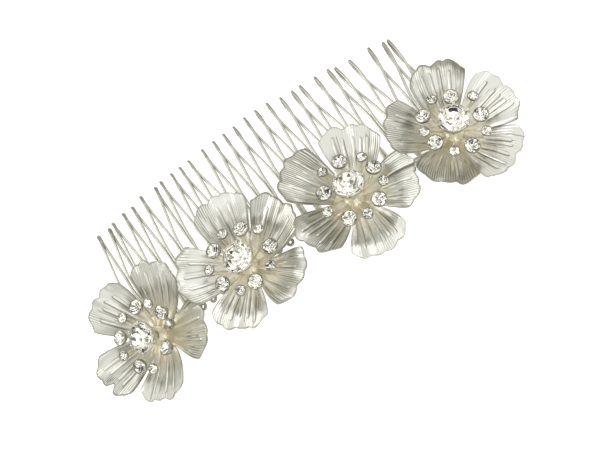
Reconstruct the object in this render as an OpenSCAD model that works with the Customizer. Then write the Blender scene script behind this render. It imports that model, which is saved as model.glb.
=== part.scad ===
// Decorative hair comb: a bowed wire comb that carries four five-petal flowers.
// The comb's length runs along X, the teeth point to +Y, and the flowers face up.
// Each flower has its own frame: its origin is on the comb's wire plane, +Z outwards.

/* [Comb] */
// Number of teeth
tooth_count = 28; // [24:2:30]
// Distance between neighbouring teeth along the comb
tooth_pitch = 3.9; // [3.8:0.1:4.4]
// Length of a tooth, from the spine to its tip
tooth_length = 38.5; // [30:0.5:46]
// Diameter of the tooth wire
wire_d = 0.9; // [0.7:0.05:0.9]
// Angle that the teeth lean towards the -X end
tooth_lean = 5.2; // [0:0.2:6]
// Radius that the comb is bowed to, so that it follows the head
bow_radius = 159; // [130:1:190]
// Diameter of the two spine wires
spine_d = 1.0; // [0.8:0.1:1.1]

/* [Flowers] */
// Radius of a flower, from its axis to the petal rims
flower_r = 19.2; // [17:0.1:20]
// Height that the petal rims stand above the flower's centre
bowl_h = 6.8; // [5:0.2:8]
// Thickness of the stamped petal sheet
sheet_t = 0.45; // [0.35:0.05:0.6]
// Height of the wavy ruffle round the rims
ruffle_h = 0.45; // [0:0.05:0.6]

/* [Stones] */
// Diameter of the centre stone
center_stone_d = 8.2; // [6:0.2:8.6]
// Diameter of the five medium stones
medium_stone_d = 4.0; // [3.2:0.1:4.4]
// Diameter of the five small stones
small_stone_d = 2.7; // [2:0.1:3]
// Height of the centre stone's table above the comb's wires
center_top = 14.2; // [13:0.1:16]
// Height of the ring of stones above the comb's wires
ring_top = 11.6; // [10.5:0.1:12.5]

/* [Hidden] */
// One value for each flower, from the comb's -X end to its +X end
flower_count = 4;
flower_along = [-50, -17, 17.2, 49.5];   // place along the bowed spine
flower_across = [-0.6, -1.7, -2.2, 0.8]; // offset towards the tooth tips
flower_fan = [-12.5, 3.5, 9.5, 18];      // lean along the comb, in degrees
flower_tip = [-10, -1, -1, -3];         // lean towards the tooth tips, in degrees
petal_spin = [42, 20, 58, 11];          // direction of the first petal, in degrees

// Directions of each flower's stones, in degrees: the rings are a little uneven
medium_turns = [[78, 19, 295, 220, 149], [133, 63, 349, 272, 205], [82, 13, 307, 240, 160],
                [70, 349, 274, 201, 141]];
small_turns = [[51, 349, 248, 182, 112], [98, 29, 312, 242, 169], [118, 42, 341, 274, 200],
               [106, 29, 312, 240, 173]];

// How the whole comb lies on a table: on its end wraps and the tips of its end teeth
rest_tilt = -1.65;
rest_shift = [0, -8.375, 11.905];

fit_gap = 0.02;
petal_count = 5;

// How far each petal's rim is bent sideways from its even place, in degrees
petal_sway = [[7, 1, 3, -8, -3], [5, -8, 1, 3, -2], [6, -1, 5, -3, -5], [-1, -4, -2, 6, 0]];

full_turn = 360;
wire_facets = 24;
round_facets = 64;
spine_facets = 720;

// Tooth: a hairpin whose legs cross once behind its leaf-shaped tip
tip_bend_r = 0.85;
tip_turn = 30;
cross_at = 8.7;
straight_at = 20;
joint_grow = 1.03;
leg_x = tooth_pitch / 2 * cos(tooth_lean) - wire_d / 2 - fit_gap;
foot_y = tooth_pitch / 2 * sin(tooth_lean);
leg_z = wire_d / 2 + fit_gap;

spine_h = wire_d / 2 + spine_d / 2 + fit_gap;
spine_spare = 2.5;
spine_half = tooth_count / 2 * tooth_pitch + spine_spare;
wrap_wire_d = 0.6;
wrap_turns = 3;
wrap_r = spine_h + spine_d / 2 + wrap_wire_d / 2 + fit_gap;

// Flower stack, as heights above the wire plane
plate_z = 2.4;
plate_t = 0.7;
plate_r = 3.6;
petal_z = plate_z + plate_t + fit_gap;
hub_z = petal_z + sheet_t + fit_gap;
hub_t = 1.1;
hub_r = 2.9;
post_r = 1.3;
saddle_low = 0.6;
saddle_top = 1.6;
saddle_x = 4;
saddle_y = 2.4;
saddle_r = plate_z - fit_gap;
saddle_gap = 4 * fit_gap;

// Petal outline: a narrow neck that widens to a round, scalloped rim
bore_r = post_r + fit_gap;
neck_r = 4.7;
neck_half = neck_r * tan(full_turn / petal_count / 2);
petal_half = 7.8;
hub_rows = 2;
petal_rows = 9;
petal_cols = 12;
widen_soon = 1.4;
widen_late = 2.1;
corner_drop = 0.33;
corner_power = 4;
scallop = 0.018;
scallop_count = 5;
rim_rise = 0.92;
edge_lift = 0.5;
ruffle_waves = 1.3;
ruffle_power = 3;
flower_phase = 0.37;
petal_phase = 0.21;

// Stones and their cups
stone_sides = 8;
crown_part = 0.24;
pavilion_part = 0.42;
table_part = 0.55;
cup_wall = 0.3;
cup_base_part = 0.6;
arm_d = 0.7;
arm_start = 2.6;
medium_reach = 8.2;
small_reach = 8.9;
setting_wall = 0.35;
claw_count = 6;
claw_d = 0.8;
claw_low_part = 0.15;
claw_part = 0.24;

part_names = ["petals", "back_plate", "saddle", "post", "stamens", "center_setting", "center_stone",
              "medium_cups", "medium_stones", "small_cups", "small_stones"];

// ---- placing ----

// Turn along the bow for a distance along the spine
function bow_angle(along) = along / bow_radius * 180 / PI;

module at_rest() {
  translate(rest_shift) rotate([rest_tilt, 0, 0]) children();
}

module on_comb(along, across = 0, height = 0) {
  translate([0, 0, -bow_radius]) rotate([0, bow_angle(along), 0])
    translate([0, across, bow_radius + height]) children();
}

module on_flower(k) {
  on_comb(flower_along[k - 1], flower_across[k - 1])
    rotate([0, flower_fan[k - 1] - bow_angle(flower_along[k - 1]), 0])
      rotate([-flower_tip[k - 1], 0, 0]) children();
}

// A straight run of round wire between two points
module wire_run(from, to, d) {
  run = to - from;
  flat = norm([run.x, run.y]);
  translate(from) rotate([0, atan2(flat, run.z), atan2(run.y, run.x)])
    cylinder(h = norm(run), d = d, $fn = wire_facets);
}

// An arc of round wire in the XY plane, centred on the origin
module wire_arc(bend_r, turn, d) {
  rotate_extrude(angle = turn, $fn = round_facets) translate([bend_r, 0]) circle(d = d, $fn = wire_facets);
}

// ---- comb ----

// One leg, from the tip bend across the tooth's centre line to the spine
module tooth_leg(side) {
  bend = [side * tip_bend_r * cos(tip_turn), tooth_length - wire_d / 2 - tip_bend_r,
          side * tip_bend_r * sin(tip_turn)];
  cross = [0, tooth_length - cross_at, side * leg_z];
  knee = [-side * leg_x, tooth_length - straight_at, 0];
  foot = [-side * leg_x, side * foot_y, 0];
  wire_run(bend, cross, wire_d);
  wire_run(cross, knee, wire_d);
  wire_run(knee, foot, wire_d);
  for (joint = [bend, cross, knee])
    translate(joint) sphere(d = wire_d * joint_grow, $fn = wire_facets);
}

module tooth() {
  for (side = [-1, 1]) tooth_leg(side);
  translate([0, tooth_length - wire_d / 2 - tip_bend_r, 0]) rotate([0, -tip_turn, 0])
    wire_arc(tip_bend_r, 180, wire_d);
}

function tooth_along(i) = (i - (tooth_count - 1) / 2) * tooth_pitch;

module teeth() {
  color("silver")
    for (i = [0 : tooth_count - 1]) on_comb(tooth_along(i)) rotate([0, 0, tooth_lean]) tooth();
}

// The tight bends that join each tooth to the next behind the spine
module end_loops() {
  color("silver")
    for (i = [0 : tooth_count - 2]) on_comb(tooth_along(i + 0.5)) rotate([0, 0, 180 + tooth_lean])
      translate([0, fit_gap]) wire_arc(wire_d / 2 + fit_gap, 180, wire_d);
}

// A spine wire, bowed with the comb, above or below the teeth
module spine_wire(height) {
  reach = bow_angle(spine_half);
  translate([0, 0, -bow_radius]) rotate([90, 0, 0]) rotate([0, 0, 90 - reach])
    rotate_extrude(angle = 2 * reach, $fn = spine_facets)
      translate([bow_radius + height, 0]) circle(d = spine_d, $fn = wire_facets);
}

module spine_front() { color("silver") spine_wire(spine_h); }
module spine_back() { color("silver") spine_wire(-spine_h); }

// Turns of fine wire that bind the two spine wires together at both ends
module end_wraps() {
  color("lightgray")
    for (side = [-1, 1], turn = [0 : wrap_turns - 1])
      on_comb(side * (spine_half - wrap_wire_d * (turn + 1) - fit_gap * turn))
        rotate([0, 90, 0]) wire_arc(wrap_r, full_turn, wrap_wire_d);
}

// ---- petals: one stamped sheet, as a closed grid of points ----

function widened(t) = 3 * pow(t, widen_soon) - 2 * pow(t, widen_late);
function petal_half_at(t) = neck_half + (petal_half - neck_half) * widened(t);
function rim_part(v) = 1 - corner_drop * pow(abs(v), corner_power)
                       + scallop * cos(full_turn / 2 * scallop_count * v);
function rise_at(r) = min(1, rim_rise * (r - neck_r) / (flower_r - neck_r));
function bowl_at(r) = r < neck_r ? 0 : (1 - cos(180 * rise_at(r))) / 2;
function ruffle_turn(v, k, p) = full_turn * (ruffle_waves * v + flower_phase * k + petal_phase * p);
function ruffle_at(t, v, k, p) = ruffle_h * pow(t, ruffle_power) * sin(ruffle_turn(v, k, p))
                                 + edge_lift * pow(t * v, 2);

// A point of the sheet's top face: t from the neck to the rim, v across the petal
function petal_point(t, v, k, p) =
  let (x = neck_r + (flower_r - neck_r) * t * rim_part(v), y = petal_half_at(t) * v,
       z = bowl_h * bowl_at(norm([x, y])) + ruffle_at(t, v, k, p),
       turn = petal_spin[k - 1] + p * full_turn / petal_count + petal_sway[k - 1][p] * t)
  [x * cos(turn) - y * sin(turn), x * sin(turn) + y * cos(turn), z];

// A point of the flat centre: q from the bore to the neck, v across the petal
function hub_point(q, v, k, p) =
  let (r = bore_r + (norm([neck_r, neck_half * v]) - bore_r) * q,
       turn = petal_spin[k - 1] + p * full_turn / petal_count + atan2(neck_half * v, neck_r))
  [r * cos(turn), r * sin(turn), 0];

function layer(k) = concat(
  [for (i = [0 : hub_rows], p = [0 : petal_count - 1], j = [0 : petal_cols - 1])
    hub_point(i / hub_rows, 2 * j / petal_cols - 1, k, p)],
  [for (i = [1 : petal_rows], p = [0 : petal_count - 1], j = [0 : petal_cols])
    petal_point(i / petal_rows, 2 * j / petal_cols - 1, k, p)]);

hub_ring = petal_count * petal_cols;
petal_ring = petal_count * (petal_cols + 1);
hub_size = (hub_rows + 1) * hub_ring;
layer_size = hub_size + petal_rows * petal_ring;
function hub_at(i, p, j) = i * hub_ring + (p * petal_cols + j) % hub_ring;
function petal_at(i, p, j) = i == 0 ? hub_at(hub_rows, p, j)
                                    : hub_size + (i - 1) * petal_ring + p * (petal_cols + 1) + j;
function quad(a, b, c, d) = [[a, b, c], [a, c, d]];
function flipped(face) = [for (i = [len(face) - 1 : -1 : 0]) face[i] + layer_size];
function wall(a, b) = quad(a, b, b + layer_size, a + layer_size);

sheet_top = [for (p = [0 : petal_count - 1], j = [0 : petal_cols - 1]) each concat(
  [for (i = [0 : hub_rows - 1]) each
    quad(hub_at(i, p, j), hub_at(i, p, j + 1), hub_at(i + 1, p, j + 1), hub_at(i + 1, p, j))],
  [for (i = [0 : petal_rows - 1]) each
    quad(petal_at(i, p, j), petal_at(i, p, j + 1), petal_at(i + 1, p, j + 1), petal_at(i + 1, p, j))])];
sheet_walls = [for (p = [0 : petal_count - 1]) each concat(
  [for (j = [0 : petal_cols - 1]) each wall(hub_at(0, p, j + 1), hub_at(0, p, j))],
  [for (j = [0 : petal_cols - 1]) each wall(petal_at(petal_rows, p, j), petal_at(petal_rows, p, j + 1))],
  [for (i = [0 : petal_rows - 1]) each wall(petal_at(i, p, 0), petal_at(i + 1, p, 0))],
  [for (i = [0 : petal_rows - 1]) each
    wall(petal_at(i + 1, p, petal_cols), petal_at(i, p, petal_cols))])];
sheet_faces = concat(sheet_top, sheet_walls, [for (face = sheet_top) flipped(face)]);

module petals(k) {
  top = layer(k);
  points = concat([for (point = top) point + [0, 0, sheet_t]], top);
  color("gainsboro") translate([0, 0, petal_z]) polyhedron(points, sheet_faces);
}

// ---- flower fittings ----

// Saddle soldered on the front spine wire, with a dome that the back plate rests on
module saddle(across) {
  near = min(0, -across) - saddle_y / 2;
  color("lightgray") difference() {
    union() {
      intersection() {
        sphere(r = saddle_r, $fn = round_facets);
        translate([-saddle_r, -saddle_r, saddle_low]) cube([2 * saddle_r, 2 * saddle_r, saddle_r]);
      }
      translate([-saddle_x / 2, near, saddle_low])
        cube([saddle_x, abs(across) + saddle_y, saddle_top - saddle_low]);
    }
    translate([-saddle_x, -across, spine_h]) rotate([0, 90, 0])
      cylinder(h = 2 * saddle_x, d = spine_d + saddle_gap, $fn = wire_facets);
  }
}

module back_plate() {
  color("silver") translate([0, 0, plate_z]) difference() {
    cylinder(h = plate_t, r = plate_r, $fn = round_facets);
    translate([0, 0, -plate_t]) cylinder(h = 3 * plate_t, r = bore_r, $fn = round_facets);
  }
}

center_cup_z = center_top - center_stone_d * (crown_part + pavilion_part) - setting_wall;

// Riveted tube from the back plate up to the centre setting
module post() {
  color("silver") translate([0, 0, plate_z])
    cylinder(h = center_cup_z - plate_z - fit_gap, r = post_r, $fn = round_facets);
}

// ---- stones, with the table at z = 0 ----

module stone(d) {
  color("aliceblue") {
    translate([0, 0, -crown_part * d])
      cylinder(h = crown_part * d, d1 = d, d2 = table_part * d, $fn = stone_sides);
    translate([0, 0, -(crown_part + pavilion_part) * d])
      cylinder(h = pavilion_part * d, d1 = 0, d2 = d, $fn = stone_sides);
  }
}

// A cup that holds the stone's pavilion: its wall ends at the girdle
module cup(d, edge) {
  depth = pavilion_part * d + edge;
  translate([0, 0, -crown_part * d - depth]) difference() {
    cylinder(h = depth, d1 = cup_base_part * d, d2 = d + 2 * edge, $fn = round_facets);
    translate([0, 0, edge - fit_gap])
      cylinder(h = depth, d1 = 0, d2 = (d + 2 * fit_gap) * depth / (depth - edge), $fn = round_facets);
  }
}

module center_setting() {
  d = center_stone_d;
  color("silver") translate([0, 0, center_top]) {
    cup(d, setting_wall);
    for (i = [0 : claw_count - 1]) rotate([0, 0, i * full_turn / claw_count])
      translate([d / 2 + claw_d / 2 + fit_gap, 0, -(crown_part + claw_low_part) * d])
        cylinder(h = claw_part * d, d = claw_d, $fn = wire_facets);
  }
}

module center_stone() {
  translate([0, 0, center_top]) stone(center_stone_d);
}

// ---- stamens: ten curved arms that carry the ring of cups ----

function cup_drop(d) = (crown_part + pavilion_part) * d + cup_wall;
function arm_reach(d) = d == medium_stone_d ? medium_reach : small_reach;
function arm_up(d) = ring_top - cup_drop(d) - (hub_z + hub_t / 2);
function arm_run(d) = arm_reach(d) - arm_start;
function arm_bend(d) = (pow(arm_run(d), 2) + pow(arm_up(d), 2)) / (2 * arm_up(d));
function arm_turn(d) = asin(min(1, arm_run(d) / arm_bend(d)));
function ring_turns(k, d) = (d == medium_stone_d ? medium_turns : small_turns)[k - 1];

module arm(d) {
  translate([arm_start, 0, hub_z + hub_t / 2 + arm_bend(d)]) rotate([90, 0, 0]) rotate([0, 0, -90])
    wire_arc(arm_bend(d), arm_turn(d), arm_d);
}

// Places a stone or cup of diameter d at the end of its arm, in line with the arm
module at_arm_end(d) {
  translate([arm_reach(d), 0, hub_z + hub_t / 2 + arm_up(d)]) rotate([0, 90 - arm_turn(d), 0])
    translate([0, 0, fit_gap + cup_drop(d)]) children();
}

module stamens(k) {
  color("silver") {
    translate([0, 0, hub_z]) difference() {
      cylinder(h = hub_t, r = hub_r, $fn = round_facets);
      translate([0, 0, -hub_t]) cylinder(h = 3 * hub_t, r = bore_r, $fn = round_facets);
    }
    for (d = [medium_stone_d, small_stone_d], turn = ring_turns(k, d)) rotate([0, 0, turn]) arm(d);
  }
}

module ring_cups(k, d) {
  color("silver")
    for (turn = ring_turns(k, d)) rotate([0, 0, turn]) at_arm_end(d) cup(d, cup_wall);
}

module ring_of_stones(k, d) {
  for (turn = ring_turns(k, d)) rotate([0, 0, turn]) at_arm_end(d) stone(d);
}

// ---- assembly ----

at_rest() teeth();
at_rest() end_loops();
at_rest() spine_front();
at_rest() spine_back();
at_rest() end_wraps();

for (k = [1 : flower_count]) {
  at_rest() on_flower(k) petals(k);
  at_rest() on_flower(k) back_plate();
  at_rest() on_comb(flower_along[k - 1], flower_across[k - 1]) saddle(flower_across[k - 1]);
  at_rest() on_flower(k) post();
  at_rest() on_flower(k) stamens(k);
  at_rest() on_flower(k) center_setting();
  at_rest() on_flower(k) center_stone();
  at_rest() on_flower(k) ring_cups(k, medium_stone_d);
  at_rest() on_flower(k) ring_of_stones(k, medium_stone_d);
  at_rest() on_flower(k) ring_cups(k, small_stone_d);
  at_rest() on_flower(k) ring_of_stones(k, small_stone_d);
}
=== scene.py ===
"""Looks of the decorative hair comb: a bowed wire comb that carries four five-petal flowers.

Shapes are worked out in millimetres, and MM turns them into metres when a mesh is made.
Comb coordinates are (along the spine, across it towards the tooth tips, height above the wires).
A flower's own frame has its origin on the comb's wire plane and its +Z along the flower's axis.
"""

import math
import random
from dataclasses import dataclass

import bmesh
import bpy
import numpy as np
from mathutils import Matrix, Vector


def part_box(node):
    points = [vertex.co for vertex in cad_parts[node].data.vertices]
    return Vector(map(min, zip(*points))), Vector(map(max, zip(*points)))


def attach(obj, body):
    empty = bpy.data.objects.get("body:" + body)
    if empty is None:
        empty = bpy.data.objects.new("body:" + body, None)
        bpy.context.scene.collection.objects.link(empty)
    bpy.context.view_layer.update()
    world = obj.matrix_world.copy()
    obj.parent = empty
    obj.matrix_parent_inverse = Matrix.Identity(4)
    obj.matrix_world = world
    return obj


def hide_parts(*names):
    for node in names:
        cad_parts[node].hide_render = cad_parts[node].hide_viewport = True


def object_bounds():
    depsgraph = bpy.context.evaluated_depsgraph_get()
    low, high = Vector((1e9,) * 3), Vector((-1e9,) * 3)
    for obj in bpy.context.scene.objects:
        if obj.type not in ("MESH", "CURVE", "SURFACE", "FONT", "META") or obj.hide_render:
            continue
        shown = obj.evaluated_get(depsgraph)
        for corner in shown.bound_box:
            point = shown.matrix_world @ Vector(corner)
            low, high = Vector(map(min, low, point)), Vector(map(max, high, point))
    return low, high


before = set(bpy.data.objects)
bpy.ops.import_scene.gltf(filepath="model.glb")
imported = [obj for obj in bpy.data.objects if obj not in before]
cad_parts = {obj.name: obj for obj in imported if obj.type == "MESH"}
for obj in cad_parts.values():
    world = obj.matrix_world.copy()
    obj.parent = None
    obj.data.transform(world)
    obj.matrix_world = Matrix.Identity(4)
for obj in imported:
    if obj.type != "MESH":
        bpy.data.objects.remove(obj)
cad_low, cad_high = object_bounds()

# ---- driving sizes, in millimetres and degrees: the CAD's, but for a thinner wire and sheet ----
MM = 0.001
SEED = 7
BODY = "root"

TOOTH_COUNT = 28
TOOTH_PITCH = 3.9
TOOTH_LENGTH = 38.5
TOOTH_LEAN = 5.2
WIRE_D = 0.84
BOW_RADIUS = 159
SPINE_D = 1.0
WRAP_D = 0.6
FIT_GAP = 0.02

PETAL_COUNT = 5
FLOWER_R = 19.2
BOWL_H = 6.8
SHEET_T = 0.4
CAD_SHEET_T = 0.45
NECK_R = 4.7
PLATE_Z = 2.4
PLATE_T = 0.7
PLATE_R = 3.6
PETAL_Z = PLATE_Z + PLATE_T + FIT_GAP
POST_R = 1.3
BORE_R = POST_R + FIT_GAP
HUB_Z = PETAL_Z + CAD_SHEET_T + FIT_GAP
HUB_T = 1.1
HUB_R = 2.9

CENTER_STONE_D = 8.2
MEDIUM_STONE_D = 4.0
SMALL_STONE_D = 2.7
CENTER_TOP = 14.2
RING_TOP = 11.6
CROWN_PART = 0.24
PAVILION_PART = 0.42
STONE_PART = CROWN_PART + PAVILION_PART
TABLE_PART = 0.55
CUP_WALL = 0.3
SETTING_WALL = 0.35
ARM_D = 0.7
ARM_START = 2.6
CLAW_D = 0.8
CLAW_COUNT = 6

WIRE_SIDES = 14
ROUND_SIDES = 48
DOME_STEPS = (30, 60, 82)
CURVE_STEPS = 4

# ---- the camera: where it stands, seen from the comb's own frame ----
VIEW_SIDE = 7.28
VIEW_LEAN = 25.13
VIEW_ROLL = 30.03
VIEW_DISTANCE = 492.5
VIEW_SHIFT = (-0.18, -0.20)
LENS_MM = 107.5
SENSOR_MM = 36
CLIP_START_MM = 10


# ---- places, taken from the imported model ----

def centre_of(node):
    low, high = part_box(node)
    return (low + high) / 2


def spine_middle(node):
    """Centre of a spine wire halfway along the comb, where the bowed wire is highest."""
    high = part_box(node)[1]
    return Vector((0, high.y - SPINE_D * MM / 2, high.z - SPINE_D * MM / 2))


def axes_matrix(origin, x_axis, y_axis, z_axis):
    columns = Matrix((x_axis, y_axis, z_axis)).transposed()
    return Matrix.Translation(origin) @ columns.to_4x4()


def comb_place():
    """The comb's frame: its origin is between the two spine wires, halfway along the comb."""
    front, back = spine_middle("spine_front"), spine_middle("spine_back")
    up = (front - back).normalized()
    along = Vector((1, 0, 0))
    return axes_matrix((front + back) / 2, along, up.cross(along), up)


COMB = comb_place()
COMB_ACROSS = COMB.to_3x3().col[1]


def flower_place(k):
    """The frame of flower k, from the centres of its back plate and its post."""
    plate = centre_of(f"flower_{k}_back_plate")
    axis = (centre_of(f"flower_{k}_post") - plate).normalized()
    x_axis = COMB_ACROSS.cross(axis).normalized()
    origin = plate - axis * (PLATE_Z + PLATE_T / 2) * MM
    return axes_matrix(origin, x_axis, axis.cross(x_axis), axis)


def bowed(points):
    """Comb coordinates (along, across, height) as points in the comb's frame."""
    along, across, height = np.asarray(points, float).T
    angle = along / BOW_RADIUS
    reach = BOW_RADIUS + height
    return np.stack([np.sin(angle) * reach, across, np.cos(angle) * reach - BOW_RADIUS], axis=1)


def turned(angle):
    return Matrix.Rotation(math.radians(angle), 4, "Z")


# ---- shape building ----

def smooth_step(x):
    x = np.clip(x, 0, 1)
    return x * x * (3 - 2 * x)


def polar(radius, angle, z):
    return (radius * math.cos(angle), radius * math.sin(angle), z)


def hump(distance):
    """A bell-shaped falloff: 1 at distance 0, and near 0 beyond 2."""
    return np.exp(-distance ** 2)


def smooth_path(points):
    """A Catmull-Rom curve through the points."""
    p = np.asarray(points, float)
    p = np.vstack([2 * p[0] - p[1], p, 2 * p[-1] - p[-2]])
    made = []
    for a, b, c, d in zip(p[:-3], p[1:-2], p[2:-1], p[3:]):
        for s in np.arange(CURVE_STEPS) / CURVE_STEPS:
            made.append(0.5 * (2 * b + (c - a) * s + (2 * a - 5 * b + 4 * c - d) * s ** 2
                               + (3 * b - a - 3 * c + d) * s ** 3))
    made.append(p[-2])
    return np.array(made)


class Shape:
    """The points and faces of one piece, gathered part by part."""

    def __init__(self):
        self.points = []
        self.faces = []
        self.count = 0

    def add(self, points, faces, place=None):
        points = np.asarray(points, float)
        if place is not None:
            matrix = np.array(place)
            points = points @ matrix[:3, :3].T + matrix[:3, 3]
        self.points.append(points)
        self.faces += [[i + self.count for i in face] for face in faces]
        self.count += len(points)

    def rings(self, rings, place=None, cap=True):
        """Joins equal closed rings of points into a tube, with flat ends if cap is true."""
        rings = np.asarray(rings, float)
        n, sides = rings.shape[:2]
        faces = [[i * sides + j, i * sides + (j + 1) % sides,
                  (i + 1) * sides + (j + 1) % sides, (i + 1) * sides + j]
                 for i in range(n - 1) for j in range(sides)]
        if cap:
            faces.append(list(range(sides))[::-1])
            faces.append([(n - 1) * sides + j for j in range(sides)])
        self.add(rings.reshape(-1, 3), faces, place)

    def tube(self, path, width, place=None):
        """Round wire along a path, with domed ends. width is a diameter, or one for each point."""
        path = np.asarray(path, float)
        radius = np.broadcast_to(np.asarray(width, float) / 2, len(path)).copy()
        along = np.gradient(path, axis=0)
        along /= np.linalg.norm(along, axis=1, keepdims=True)
        rise, part = np.sin(np.radians(DOME_STEPS)), np.cos(np.radians(DOME_STEPS))
        first = path[0] - radius[0] * np.outer(rise, along[0])
        last = path[-1] + radius[-1] * np.outer(rise, along[-1])
        path = np.vstack([first[::-1], path, last])
        radius = np.concatenate([radius[0] * part[::-1], radius, radius[-1] * part])
        along = np.pad(along, ((len(part), len(part)), (0, 0)), mode="edge")
        level = abs(along[0][2]) < 0.9
        normal = np.cross(along[0], [0.0, 0.0, 1.0] if level else [1.0, 0.0, 0.0])
        angles = np.arange(WIRE_SIDES) * 2 * math.pi / WIRE_SIDES
        made = []
        for point, r, direction in zip(path, radius, along):
            normal = normal - direction * np.dot(normal, direction)
            normal /= np.linalg.norm(normal)
            other = np.cross(direction, normal)
            rim = np.outer(np.cos(angles), normal) + np.outer(np.sin(angles), other)
            made.append(point + r * rim)
        self.rings(made, place)

    def lathe(self, outline, place=None):
        """A closed outline of (radius, height) points turned round the Z axis."""
        angles = np.arange(ROUND_SIDES) * 2 * math.pi / ROUND_SIDES
        rings = [[polar(r, a, z) for a in angles] for r, z in outline]
        self.rings(rings + rings[:1], place, cap=False)

    def piece(self, name, material, slot, stands_for, place):
        """Makes the gathered shape a piece that rides on the comb and stands for CAD nodes."""
        mesh = bpy.data.meshes.new(name)
        mesh.from_pydata((np.vstack(self.points) * MM).tolist(), [], self.faces)
        made = bpy.data.objects.new(name, mesh)
        bpy.context.scene.collection.objects.link(made)
        clean = bmesh.new()
        clean.from_mesh(mesh)
        bmesh.ops.remove_doubles(clean, verts=clean.verts, dist=0.001 * MM)
        bmesh.ops.recalc_face_normals(clean, faces=clean.faces)
        clean.to_mesh(mesh)
        clean.free()
        mesh.shade_smooth()
        mesh.materials.append(material)
        made.matrix_world = place
        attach(made, BODY)
        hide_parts(*stands_for)
        return made


# ---- materials ----

def set_stops(color_ramp, stops):
    """Gives a colour ramp its stops, each a place from 0 to 1 and a colour."""
    points = color_ramp.elements
    while len(points) < len(stops):
        points.new(1.0)
    for point, (at, colour) in zip(points, stops):
        point.position = at
        point.color = (*colour, 1)


class Nodes:
    """A material and short ways to add nodes to it."""

    def __init__(self, name):
        self.material = bpy.data.materials.new(name)
        self.material.use_nodes = True
        self.tree = self.material.node_tree
        self.shader = self.tree.nodes["Principled BSDF"]
        coords = self.tree.nodes.new("ShaderNodeTexCoord").outputs
        self.place = coords["Object"]
        self.local_normal = coords["Normal"]

    def give(self, socket, value):
        """Links a node's output to a socket, or sets the socket to a plain value."""
        if isinstance(value, bpy.types.NodeSocket):
            self.tree.links.new(value, socket)
        else:
            socket.default_value = value

    def node(self, kind, inputs=None, **settings):
        made = self.tree.nodes.new("ShaderNode" + kind)
        for key, value in settings.items():
            setattr(made, key, value)
        for key, value in (inputs or {}).items():
            self.give(made.inputs[key], value)
        return made

    def noise(self, size_mm, detail=3.0):
        """Noise whose grains are about size_mm across."""
        return self.node("TexNoise", {"Vector": self.place, "Scale": 1 / (size_mm * MM),
                                      "Detail": detail}).outputs["Fac"]

    def ramp(self, value, stops):
        made = self.node("ValToRGB", {"Fac": value})
        set_stops(made.color_ramp, stops)
        return made.outputs["Color"]

    def range(self, value, low, high, to_low, to_high):
        return self.node("MapRange", {"Value": value, "From Min": low, "From Max": high,
                                      "To Min": to_low, "To Max": to_high}).outputs["Result"]

    def noise_range(self, noise, to_low, to_high):
        """The middle part of a noise, where most of its values lie, spread over a range."""
        return self.range(noise, 0.3, 0.7, to_low, to_high)

    def add(self, a, b):
        return self.node("Math", {0: a, 1: b}, operation="ADD").outputs[0]

    def mix(self, share, a, b):
        """Colour a, turned into colour b as the share goes from 0 to 1."""
        made = self.node("Mix", data_type="RGBA")
        for index, value in ((0, share), (6, a), (7, b)):
            self.give(made.inputs[index], (*value, 1) if isinstance(value, tuple) else value)
        return made.outputs[2]

    def set(self, name, value):
        self.give(self.shader.inputs[name], value)

    def plate(self, colour, grain, smooth, rough, grain_mm):
        """Makes it a plated metal, whose grain varies its roughness and stands up a little."""
        bump = self.node("Bump", {"Height": grain, "Distance": grain_mm * MM})
        self.set("Base Color", colour)
        self.set("Metallic", 1.0)
        self.set("Roughness", self.noise_range(grain, smooth, rough))
        self.set("Normal", bump.outputs["Normal"])
        return self.material


SILVER = (0.83, 0.83, 0.77)
REFLECTION_FADE_SILVER = (0.85, 0.83, 0.74)
HEART_REFLECTION_TINT = (0.94, 0.89, 0.75)
PAINTED_SHADE_COLOUR = (0.16, 0.15, 0.11)
PAINTED_HIGHLIGHT_COLOUR = (0.99, 0.99, 0.97)
WIRE_LIGHT = (0.78, 0.78, 0.72)
WIRE_SHADE = (0.66, 0.65, 0.59)
# Painted shade on the tooth wire's flanks
WIRE_SHADED_FLANK = (0.38, 0.37, 0.32)
# Darker colour towards the tooth tips and over the end loops
TIP_AND_LOOP_DARK = (0.20, 0.19, 0.15)

# Grain sizes and depths of the plating, in millimetres
CLOUD = 2.5
SCRATCH = 0.5
SCRATCH_H = 0.002
TOOTH_SCRATCH_H = 0.0008
SATIN = 0.12
SATIN_H = 0.006
# Where the darkening starts and where it is full: in from the tips, and across at the end loops; its
# share
TIP_DARKENING = (6.5, 1.5)
LOOP_DARKENING = (-0.2, -1.2)
DARKENING_SHARE = 0.7
# Painted warm reflection: the champagne tint in the heart of a petal fades into silver between these
# radii
HEART_R = (5.0, 12.5)


def metal(name, light, dark, roughness):
    """Satin-plated wire and fittings: cloudy tone, fine scratches and a faint grain."""
    made = Nodes(name)
    colour = made.ramp(made.noise(CLOUD), [(0.3, dark), (0.62, light)])
    return made.plate(colour, made.noise(SCRATCH, 2.0), roughness - 0.06, roughness + 0.08, SCRATCH_H)


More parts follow.
